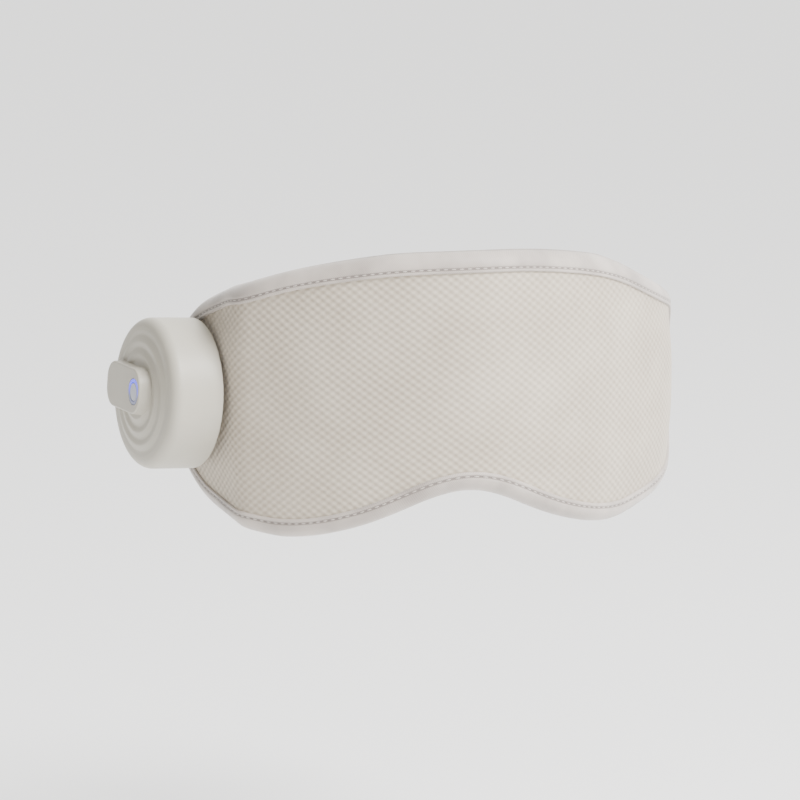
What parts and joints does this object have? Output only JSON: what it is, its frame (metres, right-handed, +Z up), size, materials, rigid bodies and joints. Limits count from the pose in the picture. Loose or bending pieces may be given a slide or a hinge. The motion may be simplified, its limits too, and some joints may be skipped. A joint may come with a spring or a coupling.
{
  "type": "eye massager mask",
  "caption": "Padded wrap-round eye mask with a round control pod at one temple, skin-side eye cushions, motors, heating films and an elastic head strap.",
  "frame": {"origin": "where the skin side of the pad meets the bridge of the nose", "axes": "+X to the wearer's left, +Y towards the back of the head, +Z up as worn"},
  "size_m": [0.1993, 0.1299, 0.0954],
  "materials": {
    "screw_steel": "machined",
    "foam": "open foam",
    "battery_foil": "foil",
    "board": "solder mask",
    "chip_plastic": "moulded",
    "contact_gold": "plated",
    "pod_plastic": "fine satin",
    "magnet": "plated",
    "housing_plastic": "moulded",
    "motor_steel": "drawn",
    "binding_tape": "satin",
    "cushion_fabric": "soft knit",
    "knit_fabric": "embossed knit",
    "heater_film": "amber film",
    "lining_fabric": "smooth knit",
    "light_plastic": "translucent",
    "key_plastic": "satin",
    "strap_webbing": "elastic webbing",
    "buckle_plastic": "moulded"
  },
  "bodies": {
    "mask": {"dock_back_plate": "housing_plastic", "dock_contacts": "contact_gold", "dock_magnets": "magnet", "dock_plate": "housing_plastic", "dock_screws": "screw_steel", "dock_wires": "contact_gold", "edge_binding": "binding_tape", "eye_cushion_left": "cushion_fabric", "eye_cushion_right": "cushion_fabric", "foam_pad": "foam", "front_cover": "knit_fabric", "heating_film_left": "heater_film", "heating_film_right": "heater_film", "inner_lining": "lining_fabric", "motor_cover_left": "housing_plastic", "motor_cover_right": "housing_plastic", "motor_housing_left": "housing_plastic", "motor_housing_right": "housing_plastic", "nose_pad_left": "cushion_fabric", "nose_pad_right": "cushion_fabric", "ring_loop": "strap_webbing", "strap_band": "strap_webbing", "strap_ring": "buckle_plastic", "vibration_motor_left": "motor_steel", "vibration_motor_right": "motor_steel", "wiring_ribbon": "heater_film"},
    "controller": {"controller_shell": "pod_plastic", "grip_bar": "pod_plastic", "light_ring": "light_plastic", "circuit_board": "board", "tact_switch": "motor_steel", "status_lights": "light_plastic", "circuit_chips": "chip_plastic", "usb_c_socket": "motor_steel", "battery_pack": "battery_foil", "battery_foam": "foam", "controller_base": "pod_plastic", "base_screws": "screw_steel", "controller_magnets": "magnet"},
    "power_key": {"power_button": "key_plastic", "switch_plunger": "chip_plastic"},
    "contact_pin_row": {"contact_pins": "contact_gold"},
    "left_weight": {"eccentric_weight_left": "motor_steel"},
    "right_weight": {"eccentric_weight_right": "motor_steel"},
    "slider": {"strap_slider": "buckle_plastic"}
  },
  "joints": [
    {"name": "controller_lift", "type": "slide", "parent": "mask", "child": "controller", "axis": [-0.9727, -0.22, 0.0732], "range_m": [0, 0.02]},
    {"name": "power_button_press", "type": "slide", "parent": "controller", "child": "power_key", "axis": [0.9727, 0.22, -0.0732], "range_m": [0, 0.0005], "stiffness_N_per_m": 2500, "springref_m": -0.0002},
    {"name": "contact_pins_press", "type": "slide", "parent": "controller", "child": "contact_pin_row", "axis": [-0.9727, -0.22, 0.0732], "range_m": [0, 0.0006], "stiffness_N_per_m": 1200, "springref_m": -0.0002},
    {"name": "weight_spin_left", "type": "hinge", "parent": "mask", "child": "left_weight", "pos_m": [0.03902, 0.006, 0.027], "axis": [0.8795, 0.4759, 0], "continuous": true},
    {"name": "weight_spin_right", "type": "hinge", "parent": "mask", "child": "right_weight", "pos_m": [-0.0389, 0.00612, 0.027], "axis": [-0.8744, 0.4853, 0], "continuous": true},
    {"name": "strap_slider_slide", "type": "slide", "parent": "mask", "child": "slider", "axis": [1, 0, 0], "range_m": [0, 0.04]}
  ]
}
